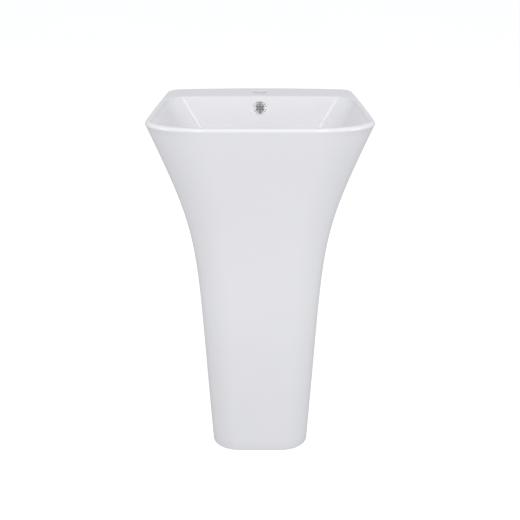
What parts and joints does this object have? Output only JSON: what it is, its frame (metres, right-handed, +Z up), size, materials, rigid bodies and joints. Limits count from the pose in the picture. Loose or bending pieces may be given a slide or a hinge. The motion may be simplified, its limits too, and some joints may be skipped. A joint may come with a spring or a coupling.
{
  "type": "pedestal sink",
  "caption": "One-piece flared pedestal washbasin with rear deck, tap hole, overflow, push-to-open waste and bottle trap.",
  "frame": {"origin": "on the floor, midway between the two sides and midway between the front and the wall side", "axes": "+Z up, +Y towards the wall, +X to the right of someone who faces the basin"},
  "size_m": [0.5, 0.415, 0.85],
  "materials": {
    "china": "glossy white glaze",
    "chrome_trim": "bright chrome plate",
    "chrome_pipe": "chrome plated brass",
    "raw_brass": "turned brass",
    "spring_steel": "bright wire",
    "black_rubber": "matte",
    "clear_plastic": "satin natural plastic"
  },
  "bodies": {
    "basin": {"ceramic_body": "china", "overflow_ring": "chrome_trim", "overflow_grate": "chrome_trim", "overflow_sleeve": "clear_plastic", "waste_body": "chrome_trim", "waste_flange_seal": "black_rubber", "waste_lower_seal": "black_rubber", "waste_slip_washer": "clear_plastic", "waste_backnut": "raw_brass", "click_cartridge": "raw_brass", "click_spring": "spring_steel", "trap_inlet_nut": "chrome_pipe", "trap_inlet_washer": "black_rubber", "trap_dip_tube": "chrome_pipe", "trap_head_nut": "chrome_pipe", "trap_head_washer": "black_rubber", "trap_head": "chrome_pipe", "outlet_nut": "chrome_pipe", "outlet_washer": "black_rubber", "outlet_pipe": "chrome_pipe"},
    "plug": {"plug_cap": "chrome_trim", "plug_seal": "black_rubber", "plug_stem": "raw_brass"},
    "cup_seal": {"trap_cup_seal": "black_rubber"},
    "cup": {"trap_cup": "chrome_pipe"},
    "cover_plate": {"wall_flange": "chrome_pipe"}
  },
  "joints": [
    {"name": "plug_rise", "type": "slide", "parent": "basin", "child": "plug", "axis": [0, 0, 1], "range_m": [0, 0.008], "deforming": ["click_spring"]},
    {"name": "cup_drop", "type": "slide", "parent": "basin", "child": "cup_seal", "axis": [0, 0, -1], "range_m": [0, 0.012]},
    {"name": "cup_turn", "type": "hinge", "parent": "cup_seal", "child": "cup", "pos_m": [0, -0.015, 0.5], "axis": [0, 0, -1], "range_deg": [0, 1440]},
    {"name": "plate_slide", "type": "slide", "parent": "basin", "child": "cover_plate", "axis": [0, 1, 0], "range_m": [-0.103, 0.047]}
  ],
  "couplings": [
    {"joint": "cup_drop", "follows": "cup_turn", "m_per_rad": 0.0004774}
  ]
}
